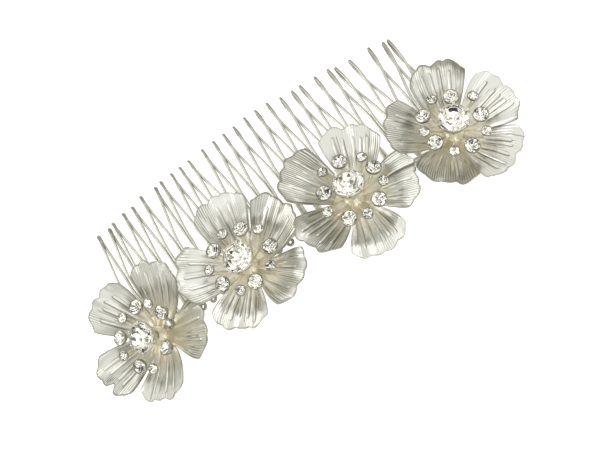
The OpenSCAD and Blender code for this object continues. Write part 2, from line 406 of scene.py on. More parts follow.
def tooth_metal():
    """Satin wire with painted shade on its flanks, which turn away from the light overhead, and darker
    towards the tips and over the end loops.
    """
    made = Nodes("tooth_wire_metal")
    across = made.node("SeparateXYZ", {0: made.place}).outputs["Y"]
    facing = made.node("SeparateXYZ", {0: made.local_normal}).outputs["Z"]
    light = made.mix(made.noise_range(made.noise(CLOUD), 0.0, 1.0), WIRE_SHADE, WIRE_LIGHT)
    # painted shade: the flanks, whose normal turns away from straight up, are darkened
    flank_shaded = made.mix(made.range(facing, 0.35, 0.8, 1.0, 0.0), light, WIRE_SHADED_FLANK)
    # darker towards the tips and over the end loops behind the spine
    near, far = ((TOOTH_LENGTH - inset) * MM for inset in TIP_DARKENING)
    tip = made.range(across, near, far, 0.0, DARKENING_SHARE)
    foot = made.range(across, LOOP_DARKENING[0] * MM, LOOP_DARKENING[1] * MM, 0.0, DARKENING_SHARE)
    colour = made.mix(made.add(tip, foot), flank_shaded, TIP_AND_LOOP_DARK)
    return made.plate(colour, made.noise(SCRATCH, 2.0), 0.14, 0.24, TOOTH_SCRATCH_H)


def petal_metal():
    """Satin silver sheet with a champagne tint painted in its heart for the warm reflection there. Its
    "groove"
    attribute is painted light and shade: above 0 it is painted shade, as in the grooves between the ribs,
    and below 0 a painted highlight, as on the crests."""
    made = Nodes("satin_silver_petal")
    flat = made.node("VectorMath", {0: made.place, 1: (1, 1, 0)}, operation="MULTIPLY").outputs[0]
    radius = made.node("VectorMath", {0: flat}, operation="LENGTH").outputs["Value"]
    warm = made.add(radius, made.noise_range(made.noise(3.0), -1.6 * MM, 1.6 * MM))
    heart = made.range(warm, HEART_R[0] * MM, HEART_R[1] * MM, 0.0, 1.0)
    # painted warm reflection: champagne in the heart of the bowl, through a warm silver, to silver
    silver = made.ramp(heart, [(0.0, HEART_REFLECTION_TINT), (0.55, REFLECTION_FADE_SILVER), (1.0, SILVER)])
    tone = made.node("Attribute", attribute_name="painted_light_and_shade").outputs["Fac"]
    # painted shade where the tone attribute is above 0
    with_painted_shade = made.mix(made.range(tone, 0.0, 1.0, 0.0, 0.8), silver, PAINTED_SHADE_COLOUR)
    # painted highlight where the tone attribute is below 0
    colour = made.mix(made.range(tone, 0.0, -1.0, 0.0, 0.9), with_painted_shade, PAINTED_HIGHLIGHT_COLOUR)
    return made.plate(colour, made.noise(SATIN, 5.0), 0.26, 0.36, SATIN_H)


GLASS_COLOURS = [(0.2, (0.98, 0.98, 0.95)), (0.8, (1.0, 0.99, 0.96))]


def crystal_glass():
    """Clear lead glass of a cut stone."""
    made = Nodes("clear_crystal")
    made.set("Base Color", made.ramp(made.noise(1.5), GLASS_COLOURS))
    made.set("Transmission Weight", 1.0)
    made.set("Roughness", 0.0)
    made.set("IOR", 1.48)
    made.set("Coat Weight", 0.3)
    made.set("Coat Roughness", 0.0)
    return made.material


# The foil's colour and glow by the tone of a facet: painted reflections, from dark to bright, and a
# painted glow of glints on the brighter tones. A few tones flash blue and a few orange, as painted fire.
FOIL_PAINTED_REFLECTIONS = [(0.0, (0.01, 0.01, 0.01)), (0.16, (0.05, 0.05, 0.05)), (0.24, (0.46, 0.45, 0.42)),
                (0.42, (0.64, 0.63, 0.59)), (0.5, (0.96, 0.95, 0.90)), (1.0, (1.0, 0.99, 0.94))]
FOIL_PAINTED_GLINTS = [(0.42, (0.0, 0.0, 0.0)), (0.56, (0.48, 0.48, 0.44)), (0.6, (0.60, 0.74, 0.92)),
             (0.64, (1.0, 0.90, 0.74)), (0.7, (0.86, 0.85, 0.79)), (1.0, (1.0, 0.98, 0.92))]
# Strength of the painted glint glow
GLINT_STRENGTH = 0.44


def crystal_foil():
    """Mirror foil on the back of a cut stone, each facet with its own painted reflection, from dark to
    bright, and its own painted glint glow.
    """
    made = Nodes("crystal_foil")
    tone = made.node("Attribute", attribute_name="facet").outputs["Fac"]
    made.set("Base Color", made.ramp(tone, FOIL_PAINTED_REFLECTIONS))
    made.set("Metallic", 1.0)
    made.set("Roughness", made.noise_range(made.noise(SCRATCH), 0.02, 0.06))
    made.set("Emission Color", made.ramp(tone, FOIL_PAINTED_GLINTS))
    made.set("Emission Strength", GLINT_STRENGTH)
    return made.material


TOOTH_METAL = tooth_metal()
WIRE_METAL = metal("satin_wire", (0.56, 0.55, 0.49), (0.40, 0.39, 0.33), 0.18)
BINDING_METAL = metal("bright_binding_wire", (0.74, 0.73, 0.67), (0.62, 0.60, 0.53), 0.20)
FITTING_METAL = metal("warm_fitting", (0.90, 0.84, 0.68), (0.76, 0.70, 0.56), 0.30)
SETTING_METAL = metal("polished_setting", (0.44, 0.42, 0.36), (0.24, 0.22, 0.18), 0.16)
CLAW_METAL = metal("bright_claws", (0.74, 0.72, 0.65), (0.50, 0.48, 0.42), 0.16)
PETAL_METAL = petal_metal()
# The petal sheet's edge, in a darker copy of the petal metal: painted shade
SHADED_EDGE_METAL = metal("shaded_petal_edge", (0.42, 0.40, 0.34), (0.30, 0.28, 0.23), 0.30)
CRYSTAL_GLASS = crystal_glass()
CRYSTAL_FOIL = crystal_foil()


# ---- comb ----

# How much narrower the row of tips is than the row of feet
TIPS_GATHER = 1.8
# How far the tip of a bent tooth sways along the comb, by its place from the -X end
TIP_SWAY = {0: 0.3, 1: 0.9, 2: -0.9, 4: -0.4, 6: 1.3, 9: -0.7, 10: -1.3, 20: -1.2, 23: -1.5,
            24: -0.8, 25: 2.0, 26: 2.5, 27: 0.3}
# How much longer than TOOTH_LENGTH some teeth are, by their place from the -X end
EXTRA_LENGTH = {0: 0.3, 1: -0.4, 2: 0.1, 3: 0.1, 4: -0.3, 5: 0.5, 15: 0.7, 16: 0.7, 17: 0.7,
                23: -0.6, 24: -0.6, 25: 0.2, 27: -0.3}
UNEVEN = 0.3
# Distances from the tip at the -X end, and how much they grow towards the +X end
CROSS_AT, CROSS_GROW = 2.7, 5.1
JOIN_AT, JOIN_GROW = 15.5, 5.0
LEAF_HALF, LEAF_GROW = 0.10, 0.12


def tooth_row():
    """Each tooth's tip sway, crossing distance, joining distance, leaf and length, from the -X end."""
    chance = random.Random(SEED)
    row = []
    for i in range(TOOTH_COUNT):
        share = i / (TOOTH_COUNT - 1)
        sway = TIP_SWAY.get(i, chance.uniform(-UNEVEN, UNEVEN)) + TIPS_GATHER * (0.6 - share)
        row.append({"along": (i - (TOOTH_COUNT - 1) / 2) * TOOTH_PITCH,
                    "sway": sway,
                    "cross": CROSS_AT + CROSS_GROW * share + chance.uniform(-0.4, 0.4),
                    "join": JOIN_AT + JOIN_GROW * share + chance.uniform(-1.5, 1.5),
                    "leaf": LEAF_HALF + LEAF_GROW * share + chance.uniform(-0.05, 0.07),
                    "length": TOOTH_LENGTH + EXTRA_LENGTH.get(i, chance.uniform(-UNEVEN, UNEVEN))})
    return row


# Points along a leg: parts of the hairpin's bend, of the leaf, and of the run beside the next leg
HAIRPIN_PARTS = (0.0, 0.06, 0.25, 0.6, 1.0)
LEAF_PARTS = (0.3, 0.5, 0.7, 0.85, 1.0)
TWIST_PARTS = (0.2, 0.4, 0.6, 0.8, 1.0)
# How far before and after the joining point a leg eases into its pair, and how a tip's sway fades
JOIN_EASE = 1.5
SWAY_RUN = 3
SWAY_POWER = 1.15


def tooth_leg(tooth, side, twist):
    """One leg from its tip to the spine, as (along, across, height) points.

    The tip is a hairpin whose legs lie one above the other and open into a slim leaf. They
    cross once, then run beside the next tooth's leg, and each such pair turns about itself by
    the twist."""
    lean = math.radians(TOOTH_LEAN)
    length, cross, join = tooth["length"], tooth["cross"], tooth["join"]
    touch = WIRE_D / 2 + FIT_GAP
    pair_x = TOOTH_PITCH / 2 * math.cos(lean)
    spread = (pair_x - touch) / (join - cross)
    paired = join + JOIN_EASE
    places = [touch * part for part in HAIRPIN_PARTS] + [cross * part for part in LEAF_PARTS]
    places += [(cross + join) / 2, join - JOIN_EASE, paired]
    twist_run = length - join - JOIN_EASE
    places += [paired + twist_run * part for part in TWIST_PARTS]
    made = []
    for u in places:
        if u < join:
            cap = math.sqrt(1 - (1 - min(u / touch, 1)) ** 2)
            over = 1 - max(0, u - cross) / (join - cross)
            leaf = tooth["leaf"] * math.sin(math.pi * u / cross)
            x = side * (leaf if u < cross else spread * (cross - u))
            z = side * touch * over * cap
        else:
            angle = twist * float(smooth_step((u - join - JOIN_EASE) / (twist_run * 0.8)))
            x = -side * (pair_x - touch * math.cos(angle))
            z = side * touch * math.sin(angle)
        bend = tooth["sway"] * max(0.0, 1 - u / (join + SWAY_RUN)) ** SWAY_POWER
        y = length - WIRE_D / 2 - u
        along = tooth["along"] + (x + bend) * math.cos(lean) - y * math.sin(lean)
        made.append((along, y * math.cos(lean) + x * math.sin(lean), z))
    return made


# Half the outline of an eyelet behind the spine: half its width and its place across the comb
EYE_NECK_Y = -0.9
EYE_OUTLINE = [(0.82, -1.5), (0.55, -2.25)]
EYE_END_Y = -2.5


def eyelet(tooth, swapped):
    """The small loop behind the spine that joins one tooth's wire to the next."""
    side = 1 if swapped else -1
    middle = tooth["along"] + TOOTH_PITCH / 2
    half = [(WIRE_D / 2 + FIT_GAP, EYE_NECK_Y)] + EYE_OUTLINE
    outline = half + [(0.0, EYE_END_Y)] + [(-x, y) for x, y in half[::-1]]
    return [(middle + side * x, y, 0.0) for x, y in outline]


# Where the wire's two ends stop: in from half a pitch beyond the last tooth, and behind the spine
END_IN = 0.5
END_Y = -1.2


def comb_wire():
    """The whole comb as one wire, bent back and forth into 28 teeth."""
    row = tooth_row()
    chance = random.Random(SEED + 1)
    twists = [math.pi * chance.choice([0, 1, -1, 1, 0]) for _ in range(TOOTH_COUNT + 1)]
    twists[0] = twists[-1] = 0.0
    path = [(row[0]["along"] - TOOTH_PITCH / 2 + END_IN, END_Y, 0.0)]
    for i, tooth in enumerate(row):
        path += tooth_leg(tooth, 1, twists[i])[::-1]
        path += tooth_leg(tooth, -1, twists[i + 1])[1:]
        if i < TOOTH_COUNT - 1:
            path += eyelet(tooth, bool(twists[i + 1]))
    path.append((row[-1]["along"] + TOOTH_PITCH / 2 - END_IN, END_Y, 0.0))
    shape = Shape()
    shape.tube(bowed(smooth_path(path)), WIRE_D)
    shape.piece("tooth_wire", TOOTH_METAL, "wire_metal", ["teeth", "end_loops"], COMB)


SPINE_H = (spine_middle("spine_front") - spine_middle("spine_back")).length / MM / 2
SPINE_SPARE = 2.5
SPINE_HALF = TOOTH_COUNT / 2 * TOOTH_PITCH + SPINE_SPARE
SPINE_STEPS = 240
SPINE_WAVE_H = 0.03
WRAP_TURNS = 3
WRAP_STEPS = 40
WRAP_ROUNDNESS = 0.6


def spine_wire(name, node, height):
    """A spine wire, pressed into a faint wave by the legs it crosses."""
    end = SPINE_HALF - SPINE_D / 2
    along = np.linspace(-end, end, SPINE_STEPS)
    wave = SPINE_WAVE_H * np.sin(along * 2 * math.pi / TOOTH_PITCH)
    shape = Shape()
    shape.tube(bowed(np.stack([along, wave, np.full_like(along, height)], axis=1)), SPINE_D)
    shape.piece(name, WIRE_METAL, "wire_metal", [node], COMB)


def end_bindings():
    """Three turns of fine wire round both spine wires at each end of the comb."""
    half_high = SPINE_H + SPINE_D / 2 + WRAP_D / 2
    half_wide = SPINE_D / 2 + WRAP_D / 2 + FIT_GAP
    middle = SPINE_HALF - WRAP_D * (WRAP_TURNS + 1) / 2 - WRAP_D / 2
    angle = np.linspace(0, WRAP_TURNS * 2 * math.pi, WRAP_TURNS * WRAP_STEPS + 1)
    run = (angle / (2 * math.pi) - WRAP_TURNS / 2) * (WRAP_D + FIT_GAP)
    across = half_wide * np.sign(np.sin(angle)) * np.abs(np.sin(angle)) ** WRAP_ROUNDNESS
    height = half_high * np.cos(angle)
    shape = Shape()
    for side in (-1, 1):
        shape.tube(bowed(np.stack([side * middle + run, across, height], axis=1)), WRAP_D)
    shape.piece("end_bindings", BINDING_METAL, "binding_wire", ["end_wraps"], COMB)


def flower_piece(shape, k, name, material, slot, node, place):
    """Makes the shape a piece of flower k that stands for one of its CAD nodes."""
    return shape.piece(f"flower_{k}_{name}", material, slot, [f"flower_{k}_{node}"], place)


# ---- petals ----

@dataclass
class Petal:
    """One petal of a flower. turn is its direction at the rim, in degrees; reach, half (half its
    width) and lift are in millimetres; curl bends the rim down, or up below 0; flutes is how many
    raised folds it has; fold is where across it, from -1 to 1, one half steps over the other, and
    notch is where the rim is cut in; dull is painted shade over the whole petal, painted light below 0;
    ribbed is the part across it, from -1 to 1, where its ribs are strong. Each of marks is a
    patch of painted shade, painted light where its last value is below 0: how far out, how far across,
    length, width and how much painted shade. shine is how strong the painted highlights on the crests of
    its folds are."""
    turn: float
    reach: float
    half: float
    lift: float = 0.0
    curl: float = -0.1
    flutes: int = 4
    fold: float | None = None
    notch: float | None = None
    painted_shade: float = 0.0
    ribbed: tuple = (-1.5, 1.5)
    crest_highlight: float = 1.0
    marks: tuple = ()


# Each flower's petals, from the -X end
FLOWERS = [
    [Petal(49, 20.6, 7.2, flutes=3, painted_shade=0.05, ribbed=(-1.2, -0.3), crest_highlight=0.3,
           marks=((0.45, -0.3, 0.2, 0.4, -0.35),)),
     Petal(115, 19.6, 7.9, ribbed=(0.3, 0.9), crest_highlight=1.2,
           marks=((0.6, 0.85, 0.4, 0.25, 0.45), (0.8, -0.2, 0.2, 0.5, -0.3))),
     Petal(190, 19.5, 7.2, notch=0.2, painted_shade=0.3, ribbed=(-0.2, 0.4), crest_highlight=0.6,
           marks=((0.75, -0.5, 0.2, 0.3, -0.6), (0.88, 0.0, 0.08, 0.12, 0.8))),
     Petal(247, 18.2, 6.8, lift=-1, flutes=3, painted_shade=-0.2, ribbed=(-0.9, 0.9), crest_highlight=0.7),
     Petal(333, 17.6, 8.5, lift=-0.5, flutes=2, ribbed=(-1.4, 0.2), crest_highlight=0.3,
           marks=((0.5, 0.3, 0.3, 0.4, -0.2),))],
    [Petal(25, 19.2, 7.9, lift=0.4, flutes=3, painted_shade=0.25, ribbed=(-1.4, 0.0), crest_highlight=0.5,
           marks=((0.8, 0.1, 0.3, 0.3, 0.25),)),
     Petal(86, 20.0, 8.0, flutes=3, painted_shade=0.15, ribbed=(0.0, 1.4), crest_highlight=0.3,
           marks=((0.88, -0.2, 0.12, 0.7, -1.0), (0.5, 0.3, 0.2, 0.5, 0.3))),
     Petal(164, 19.0, 8.4, lift=-1.5, curl=-0.8, flutes=3, painted_shade=-0.4, ribbed=(0.1, 1.4),
           marks=((0.9, -0.6, 0.15, 0.4, 0.7), (0.8, 0.9, 0.4, 0.2, 0.5), (0.6, 0.4, 0.35, 0.4, -0.6))),
     Petal(237, 19.2, 7.9, lift=-1.8, flutes=5, painted_shade=-0.35, ribbed=(-1.2, -0.2),
           marks=((0.48, 0.1, 0.25, 0.7, -0.8), (0.92, 0.0, 0.18, 1.2, 0.3))),
     Petal(309, 17.8, 8.5, lift=-0.8, flutes=2, ribbed=(-1.2, 0.5), crest_highlight=0.4)],
    [Petal(64, 19.2, 8.5, lift=-1, flutes=5, painted_shade=-0.2, ribbed=(-1.3, 0.1), crest_highlight=0.6,
           marks=((0.75, -0.85, 0.4, 0.25, 0.5),)),
     Petal(133, 19.8, 7.8, lift=0.6, flutes=3, painted_shade=0.5, crest_highlight=0.3,
           marks=((0.75, -0.7, 0.3, 0.4, 0.4), (0.38, -0.2, 0.2, 0.8, -0.6), (0.7, 0.6, 0.2, 0.3, -0.4))),
     Petal(206, 19.2, 7.7, lift=0.8, flutes=5, painted_shade=0.1, ribbed=(0.0, 1.4), crest_highlight=1.2,
           marks=((0.65, 0.55, 0.35, 0.35, 0.45), (0.92, -0.35, 0.12, 0.3, -1.2))),
     Petal(270, 20.0, 8.3, lift=-2, flutes=5, painted_shade=-0.6, ribbed=(-0.2, 1.3), crest_highlight=0.8,
           marks=((0.5, 0.1, 0.25, 0.6, -0.5), (0.88, 0.1, 0.1, 0.2, -0.8))),
     Petal(343, 18.2, 8.3, lift=-1.2, flutes=1, fold=0.35, painted_shade=-0.2, crest_highlight=0.4,
           marks=((0.6, 0.8, 0.4, 0.3, 0.35),))],
    [Petal(10.5, 18.9, 8.9, lift=-1.6, flutes=5, painted_shade=-0.4, ribbed=(-0.6, 0.3), crest_highlight=1.2,
           marks=((1.0, -0.9, 0.1, 0.2, 0.9),)),
     Petal(80, 19.0, 7.8, curl=-0.6, ribbed=(0.4, 1.4), crest_highlight=0.5,
           marks=((1.0, -0.35, 0.1, 0.6, 1.6), (0.85, -0.8, 0.15, 0.2, 0.6))),
     Petal(155, 19.0, 8.1, flutes=3, painted_shade=0.05, ribbed=(-0.3, 1.4), crest_highlight=0.6,
           marks=((0.8, -0.6, 0.25, 0.35, 0.4),)),
     Petal(233, 17.8, 8.5, lift=0.4, flutes=2, painted_shade=0.2, ribbed=(-1.4, 0.0), crest_highlight=0.3,
           marks=((0.75, 0.5, 0.3, 0.4, 0.4), (0.95, -0.2, 0.05, 0.12, -1.2))),
     Petal(302, 18.9, 8.9, lift=-2.2, flutes=5, painted_shade=-0.4, ribbed=(-0.6, 0.6), crest_highlight=1.2,
           marks=((0.9, -0.7, 0.2, 0.3, 0.3),))],
]

NECK_ANGLE = 180 / PETAL_COUNT
NECK_HALF = NECK_R * math.tan(math.radians(NECK_ANGLE))
RIBS = 27
PETAL_ROWS = 56
PETAL_COLS = 6 * RIBS
HUB_ROWS = 4

# Heights on the sheet, in millimetres
RIB_H = 0.07
FLUTE_H = 0.30
CUP_H = 0.6
RUFFLE_H = 0.25
SIDE_WAVE_H = 0.15
FOLD_H = 0.9
HAMMER_H = 0.012
STREAK_H = 0.06

# The rim, as parts of the reach: scallops and their ripple, dropped corners and a notch
SCALLOP = 0.045
RIPPLE = 0.018
CORNER_DROP = 0.30
NOTCH = 0.10
NOTCH_W = 0.13
MEAN_LOBE = 0.03
# Where the rim starts to curl, and how far up the bowl's profile the rim comes
CURL_START = 0.82
BOWL_TOP = 0.92

FLUTE_W = 0.29
FLUTE_SPAN = 1.45
FLUTE_START = 0.15
# The side of a flute that lies away from the light is the one with the stronger dark line
SHADE_TURN = 165
# The painted shadow line beside a flute: how far out from it and how wide, and its share on the lit side;
# the width of the painted highlight on its crest
LINE_AT = 1.6
LINE_W = 0.7
FAR_LINE = 0.4
CREST_W = 0.8
# Width of the painted shadow line along a fold step
FOLD_LINE_W = 0.04
HAMMER_WAVES = 6
HAMMER_RUN = (2.2, 4.6)
STREAKS = 14
STREAK_W = 0.14
# Tones of the streaks: below 0 a painted highlight on a raised streak, above 0 painted shade in a scored
# one
STREAK_TONES = [-1.3, -1.0, 0.7, 1.0]
# Painted shade in a band along a petal's rim
RIM_PAINTED_SHADE = 0.7


def neck_turn(petals, p):
    """The even five-part direction that petal p starts from at the neck."""
    step = 360 / PETAL_COUNT
    offsets = [petal.turn - step * i for i, petal in enumerate(petals)]
    offsets = [(o - offsets[0] + 180) % 360 - 180 for o in offsets]
    return petals[0].turn + sum(offsets) / len(offsets) + step * p


def petal_plan(petal, t, v, phase):
    """A petal seen from above: how far out and across its points are, and half its width."""
    lobes = SCALLOP * np.abs(np.sin(math.pi * 2.0 * v + phase[0]))
    lobes = lobes + RIPPLE * np.sin(6.5 * v + phase[1])
    rim = 1 - CORNER_DROP * np.abs(v) ** 3.8 + lobes - MEAN_LOBE
    if petal.notch is not None:
        rim = rim - NOTCH * hump((v - petal.notch) / NOTCH_W)
    x = NECK_R + (petal.reach - NECK_R) * t * rim
    half = NECK_HALF + (petal.half - NECK_HALF) * (1.25 * t - 0.25 * t ** 4)
    return x, half * v, half


def petal_bowl(petal, t, v, radius, phase):
    """Height of a petal's bowl, with cupped sides, a curled rim, ruffles and broad side waves."""
    rise = np.clip(BOWL_TOP * (radius - NECK_R) / (FLOWER_R - NECK_R), 0, 1)
    z = BOWL_H * (0.4 * (1 - np.cos(math.pi * rise)) / 2 + 0.6 * rise ** 1.3)
    z = z + petal.lift * t ** 2 + CUP_H * v ** 2 * t ** 1.5
    z = z - petal.curl * np.clip((t - CURL_START) / (1 - CURL_START), 0, 1) ** 2
    ruffle = np.sin(2 * math.pi * 1.3 * v + phase[2]) + 0.5 * np.sin(2 * math.pi * 2.7 * v + phase[3])
    wave = np.sin(2 * math.pi * 2 * v + phase[4]) * np.sin(math.pi * np.clip(t * 1.1, 0, 1))
    return z + RUFFLE_H * t ** 4 * ruffle + SIDE_WAVE_H * wave


def petal_flutes(petal, t, v, half, chance):
    """A petal's raised folds: their height, the painted shadow lines beside them and the painted
    highlights on their crests.
    """
    shaded = math.copysign(1, math.cos(math.radians(petal.turn + SHADE_TURN)))
    lined = min(1.1, 0.4 + 0.6 * petal.crest_highlight)
    height = dark = bright = np.zeros(np.broadcast_shapes(t.shape, v.shape))
    for f in range(petal.flutes):
        at = (f - (petal.flutes - 1) / 2) * FLUTE_SPAN / petal.flutes + chance.uniform(-0.06, 0.06)
        end = chance.uniform(0.7, 0.86)
        # how strong the painted highlight on this fold's crest is
        highlight = min(1, petal.crest_highlight * chance.uniform(0.5, 1.0))
        side = (v - at) * half
        past = np.maximum(0, t - end) * (petal.reach - NECK_R)
        distance = np.sqrt(side ** 2 + past ** 2) / FLUTE_W
        along = smooth_step((t - 0.06) / 0.25) * (1 - 0.35 * smooth_step((t - end + 0.25) / 0.25))
        height = height + FLUTE_H * along * hump(distance)
        shown = smooth_step((t - FLUTE_START) / 0.25)
        # painted shadow beside the fold, stronger on the side away from the light
        line = hump((distance - LINE_AT) / LINE_W) * np.where(side * shaded > 0, 1, FAR_LINE)
        dark = np.maximum(dark, lined * line * shown)
        # painted highlight on the fold's crest
        bright = np.maximum(bright, highlight * hump((distance / CREST_W) ** 2) * shown)
    return height, dark, bright


def petal_ribs(petal, t, v, phase):
    """A petal's fine ribs: their height, and their painted light and shade: painted shade between them
    and a painted highlight on their crests.
    """
    wander = 1.1 * np.sin(5 * v + phase[3]) + 0.5 * np.sin(13 * v + phase[4])
    ribs = np.cos(math.pi * RIBS * (v + 1) + wander)
    patches = 0.7 + 0.5 * np.sin(3.1 * v + 5 * t + phase[0]) * np.sin(4.3 * t - 2 * v + phase[1])
    fade = 1 - 0.7 * smooth_step((t - 0.94) / 0.06)
    low, high = petal.ribbed
    zone = 0.5 + 0.6 * smooth_step((v - low) / 0.3) * smooth_step((high - v) / 0.3)
    strength = (0.25 + 0.75 * smooth_step((t - 0.35) / 0.5)) * patches * fade * zone
    # painted shade in the rib valleys, painted highlight on the crests
    return RIB_H * ribs * strength, strength * np.where(ribs < 0, 1.1 * ribs ** 2, -0.7 * ribs ** 2)


def petal_fold(petal, t, v):
    """The step where one half of a petal lies over the other, and the painted shadow line along it."""
    if petal.fold is None:
        return 0.0, 0.0
    step = smooth_step((v - petal.fold) / 0.05 + 0.5)
    line = hump((v - petal.fold) / FOLD_LINE_W) * smooth_step((t - 0.1) / 0.3)
    return FOLD_H * step * smooth_step((t - 0.15) / 0.4), line


def hammering(x, y, t, chance):
    """Height of the soft hammer marks."""
    height = 0.0
    for _ in range(HAMMER_WAVES):
        heading = chance.uniform(0, math.pi)
        run = (x * math.cos(heading) + y * math.sin(heading)) / chance.uniform(*HAMMER_RUN)
        height = height + HAMMER_H * np.sin(2 * math.pi * (run + chance.random()))
    return height * smooth_step(t / 0.3)


def streaked(tone, t, v, half, chance):
    """Height of a petal's scored and raised streaks, and its tone with them on it: painted shade in the
    scored ones and a painted highlight on the raised ones.
    """
    height = 0.0
    for _ in range(STREAKS):
        at = chance.uniform(-0.92, 0.92)
        near = chance.uniform(0.15, 0.6)
        far = near + chance.uniform(0.2, 0.5)
        depth = chance.choice(STREAK_TONES)
        streak = hump((v - at) * half / STREAK_W)
        streak = streak * smooth_step((t - near) / 0.1) * smooth_step((far - t) / 0.1)
        height = height - math.copysign(STREAK_H, depth) * streak
        tone = tone * (1 - streak) + depth * streak
    return height, tone


def petal_surface(petal, start, chance):
    """Rows of points on a petal's top face, from its neck to its rim, and the tone at each.

    start is the petal's direction at the neck. t runs from 0 at the neck to 1 at the rim, and v
    from -1 to 1 across the petal."""
    t = np.linspace(0, 1, PETAL_ROWS + 1)[:, None]
    v = np.linspace(-1, 1, PETAL_COLS + 1)[None, :]
    phase = [chance.uniform(0, 2 * math.pi) for _ in range(5)]
    x, y, half = petal_plan(petal, t, v, phase)
    flutes, dark, bright = petal_flutes(petal, t, v, half, chance)
    ribs, rib_tone = petal_ribs(petal, t, v, phase)
    hammered = hammering(x, y, t, chance)
    fold, fold_line = petal_fold(petal, t, v)
    # each petal's painted shade starts its tone, with the ribs' painted shade and highlights added
    streaks, tone = streaked(petal.painted_shade + rib_tone, t, v, half, chance)
    z = petal_bowl(petal, t, v, np.hypot(x, y), phase) + flutes + ribs + hammered + fold + streaks

    # painted patches: shade where the last value is above 0, light where it is below 0
    for out, across, long, wide, painted_shade in petal.marks:
        tone = tone + painted_shade * hump((t - out) / long) * hump((v - across) / wide)
    # the painted shadow lines of the folds and of a fold step, and the painted highlights on the crests,
    # go over the rest of the tone
    dark = np.maximum(dark, fold_line)
    tone = tone * (1 - np.maximum(dark, bright)) + dark * (1 - bright) - bright
    # painted shade along the rim and the side edges
    rim = np.maximum(smooth_step((t - 0.965) / 0.02), smooth_step((np.abs(v) - 0.96) / 0.03))
    tone = tone + RIM_PAINTED_SHADE * rim * smooth_step((t - 0.2) / 0.2)

    sway = (petal.turn - start + 180) % 360 - 180
    angle = np.radians(start + sway * t)
    across, along = np.cos(angle), np.sin(angle)
    return np.stack([x * across - y * along, x * along + y * across, z], axis=2), tone


def heart_points(petals):
    """Rings of points from the bore for the post out to the petals' necks."""
    points = []
    for i in range(HUB_ROWS + 1):
        for p in range(PETAL_COUNT):
            start = math.radians(neck_turn(petals, p))
            for j in range(PETAL_COLS):
                y = NECK_HALF * (2 * j / PETAL_COLS - 1)
                r = BORE_R + (math.hypot(NECK_R, y) - BORE_R) * i / HUB_ROWS
                points.append(polar(r, start + math.atan2(y, NECK_R), 0.0))
    return points


def sheet_faces(hub_size):
    """Faces of the flat heart and of the petals, whose first row is the heart's last ring."""
    ring = PETAL_COUNT * PETAL_COLS

    def hub_at(i, p, j):
        return i * ring + (p * PETAL_COLS + j) % ring

    def petal_at(i, p, j):
        if i == 0:
            return hub_at(HUB_ROWS, p, j)
        return hub_size + (p * PETAL_ROWS + i - 1) * (PETAL_COLS + 1) + j

    return [[at(i, p, j), at(i, p, j + 1), at(i + 1, p, j + 1), at(i + 1, p, j)]
            for p in range(PETAL_COUNT)
            for at, rows in ((hub_at, HUB_ROWS), (petal_at, PETAL_ROWS))
            for i in range(rows) for j in range(PETAL_COLS)]


def petal_sheet(k, place):
    """A flower's five petals, stamped from one sheet with a flat heart and a bore for the post."""
    petals = FLOWERS[k - 1]
    chance = random.Random(SEED * 10 + k)
    points = heart_points(petals)
    tones = [0.0] * len(points)
    faces = sheet_faces(len(points))
    for p, petal in enumerate(petals):
        surface, tone = petal_surface(petal, neck_turn(petals, p), chance)
        points += surface[1:].reshape(-1, 3).tolist()
        tones += tone[1:].ravel().tolist()
    shape = Shape()
    shape.add(np.array(points) + [0, 0, PETAL_Z + SHEET_T], faces)
    made = flower_piece(shape, k, "petal_sheet", PETAL_METAL, "petal_metal", "petals", place)
    mesh = made.data
    # painted shade on the sheet's edge
    mesh.materials.append(SHADED_EDGE_METAL)
    if len(mesh.vertices) != len(tones):
        raise ValueError("the petal sheet's points were merged")
    # the petals' painted light and shade, one value for each point
    mesh.attributes.new("painted_light_and_shade", "FLOAT", "POINT").data.foreach_set("value", tones)
    if mesh.polygons[0].normal.z < 0:
        mesh.flip_normals()
    solid = made.modifiers.new("sheet", "SOLIDIFY")
    solid.thickness = SHEET_T * MM
    solid.offset = -1
    solid.material_offset_rim = 1


# ---- fittings ----

# The backing disc: its rolled rim, and the shallow dish behind it
ROLL_R = 0.3
DISH_DEPTH = 0.12
DISH_R = (2.2, 2.5)
# The post: its hollow, its bevel, and the flare that carries the setting
HOLLOW_R = 0.5
POST_BEVEL = 0.15
FLARE = 0.25
FLARE_H = 0.4


def backing_disc(k, place):
    """The disc that backs the petals, with a rolled rim."""
    disc = Shape()
    roll = [(PLATE_R - ROLL_R + ROLL_R * math.sin(a), PLATE_Z + PLATE_T / 2 * (1 - math.cos(a)))
            for a in np.radians(np.arange(0, 181, 22.5))]
    dish = PLATE_Z + DISH_DEPTH
    disc.lathe([(BORE_R, dish), (DISH_R[0], dish), (DISH_R[1], PLATE_Z)] + roll
               + [(BORE_R, PLATE_Z + PLATE_T)])
    flower_piece(disc, k, "backing_disc", FITTING_METAL, "fitting_metal", "back_plate", place)


def rivet_post(k, place):
    """The riveted post through the petals, up to the centre setting."""
    top = CENTER_TOP - CENTER_STONE_D * STONE_PART - SETTING_WALL
    low = PLATE_Z + POST_BEVEL
    post = Shape()
    foot = [(HOLLOW_R, low), (HOLLOW_R, PLATE_Z), (POST_R - POST_BEVEL, PLATE_Z), (POST_R, low)]
    flare = [(POST_R, top - FLARE_H), (POST_R + FLARE, top - FIT_GAP), (HOLLOW_R, top - FIT_GAP)]
    post.lathe(foot + flare)
    flower_piece(post, k, "rivet_post", FITTING_METAL, "fitting_metal", "post", place)


# ---- stones ----

# The cut, as parts of the stone's radius, crown or diameter
STAR_PART = 0.80
STAR_DOWN = 0.52
GIRDLE_PART = 0.03
